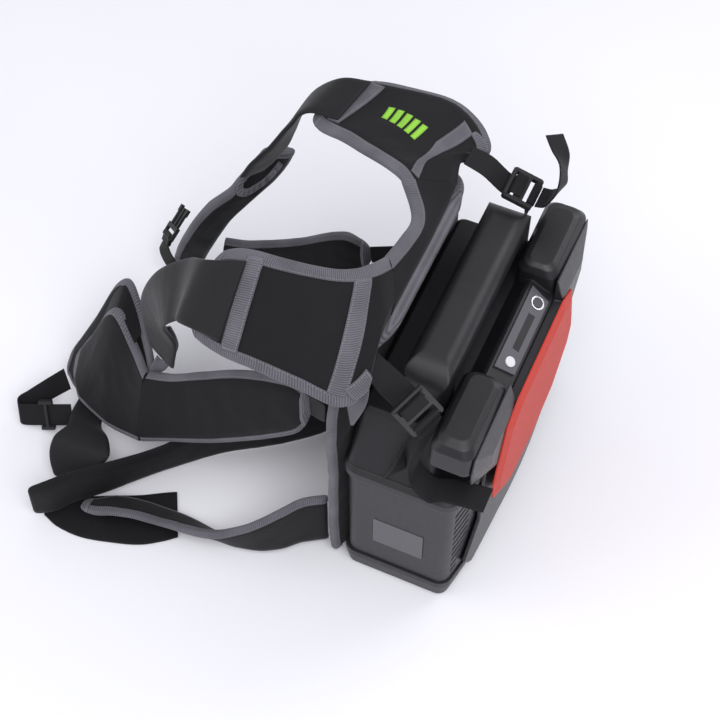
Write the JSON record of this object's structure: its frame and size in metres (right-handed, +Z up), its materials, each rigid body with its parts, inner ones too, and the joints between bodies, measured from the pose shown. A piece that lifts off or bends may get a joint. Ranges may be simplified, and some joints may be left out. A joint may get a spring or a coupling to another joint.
{
  "type": "backpack leaf blower power unit",
  "caption": "Backpack power unit for a cordless leaf blower: a hard battery housing with a carry handle, vents and controls on a padded harness with adjusters.",
  "frame": {"origin": "middle of the wearer-side edge of the base, on the floor, on the underside of the rubber heel strip", "axes": "+Z up; +Y from the wearer's back outwards to the coloured panel; +X towards the wearer's left"},
  "size_m": [0.4135, 0.5178, 0.383],
  "materials": {
    "tray_plastic": "matte",
    "foot_rubber": "matte",
    "steel_screw": "satin",
    "housing_plastic": "textured satin",
    "cover_plastic": "satin",
    "panel_orange": "gloss",
    "handle_plastic": "soft satin",
    "plate_grey": "textured",
    "button_dark": "satin",
    "ring_metal": "polished",
    "button_light": "satin",
    "lamp_window": "gloss",
    "board_green": "coated",
    "label_silver": "satin",
    "socket_plastic": "satin",
    "cell_sleeve": "gloss",
    "cell_frame_plastic": "matte",
    "nickel": "satin",
    "sink_metal": "satin",
    "fan_plastic": "satin",
    "pad_fabric": "woven",
    "band_fabric": "smooth woven",
    "webbing": "ribbed webbing",
    "buckle_plastic": "satin"
  },
  "bodies": {
    "unit": {"bottom_tray": "tray_plastic", "rubber_feet": "foot_rubber", "tray_screws": "steel_screw", "lower_housing": "housing_plastic", "upper_housing": "housing_plastic", "outer_cover": "cover_plastic", "orange_panel": "panel_orange", "carry_handle": "handle_plastic", "handle_screws": "steel_screw", "control_plate": "plate_grey", "power_button_ring": "ring_metal", "lamp_window": "lamp_window", "control_board": "board_green", "label_plate": "label_silver", "output_socket": "socket_plastic", "battery_cells": "cell_sleeve", "cell_frame_inner": "cell_frame_plastic", "cell_frame_outer": "cell_frame_plastic", "bus_bars": "nickel", "management_board": "board_green", "heat_sink": "sink_metal", "fan_frame": "fan_plastic", "back_pad": "pad_fabric", "yoke": "pad_fabric", "near_shoulder_pad": "pad_fabric", "far_shoulder_pad": "pad_fabric", "near_band": "band_fabric", "far_band": "band_fabric", "near_chest_pad": "pad_fabric", "far_chest_pad": "pad_fabric", "near_wing_pad": "pad_fabric", "far_wing_pad": "pad_fabric", "near_wing_strap": "webbing", "far_wing_strap": "webbing", "near_load_strap": "webbing", "far_load_strap": "webbing", "near_anchor_strap": "webbing", "far_anchor_strap": "webbing", "near_strap_tail": "webbing", "far_strap_tail": "webbing", "near_belt": "pad_fabric", "far_belt": "pad_fabric", "belt_tail": "webbing", "belt_link": "webbing", "loop_strap": "webbing", "buckle_strap": "webbing"},
    "power_key": {"power_button": "button_dark"},
    "mode_key": {"mode_button": "button_light"},
    "rotor": {"fan_rotor": "fan_plastic"},
    "near_lock": {"near_ladder_lock": "buckle_plastic", "near_lock_web": "webbing"},
    "far_lock": {"far_ladder_lock": "buckle_plastic", "far_lock_web": "webbing"},
    "slider": {"tri_glide": "buckle_plastic"},
    "plug": {"buckle_plug": "buckle_plastic"}
  },
  "joints": [
    {"name": "power_press", "type": "slide", "parent": "unit", "child": "power_key", "axis": [0, -0.5199, -0.8542], "range_m": [0, 0.0012], "stiffness_N_per_m": 300, "springref_m": -0.001},
    {"name": "mode_press", "type": "slide", "parent": "unit", "child": "mode_key", "axis": [0, -0.5199, -0.8542], "range_m": [0, 0.0012], "stiffness_N_per_m": 300, "springref_m": -0.001},
    {"name": "fan_spin", "type": "hinge", "parent": "unit", "child": "rotor", "pos_m": [0.1267, 0.062, 0.1], "axis": [1, 0, 0], "continuous": true},
    {"name": "near_lock_tilt", "type": "hinge", "parent": "unit", "child": "near_lock", "pos_m": [0.128, 0.073, 0.284], "axis": [0.8187, -0.4353, -0.3746], "range_deg": [-8, 8]},
    {"name": "far_lock_tilt", "type": "hinge", "parent": "unit", "child": "far_lock", "pos_m": [-0.118, 0.075, 0.313], "axis": [1, 0, 0], "range_deg": [-8, 8]},
    {"name": "slider_move", "type": "slide", "parent": "unit", "child": "slider", "axis": [-0.348, 0.9331, 0.0907], "range_m": [-0.01, 0.008]},
    {"name": "plug_swing", "type": "hinge", "parent": "unit", "child": "plug", "pos_m": [-0.105, -0.323, 0.059], "axis": [0.5624, 0.6469, 0.515], "range_deg": [-20, 20]}
  ]
}
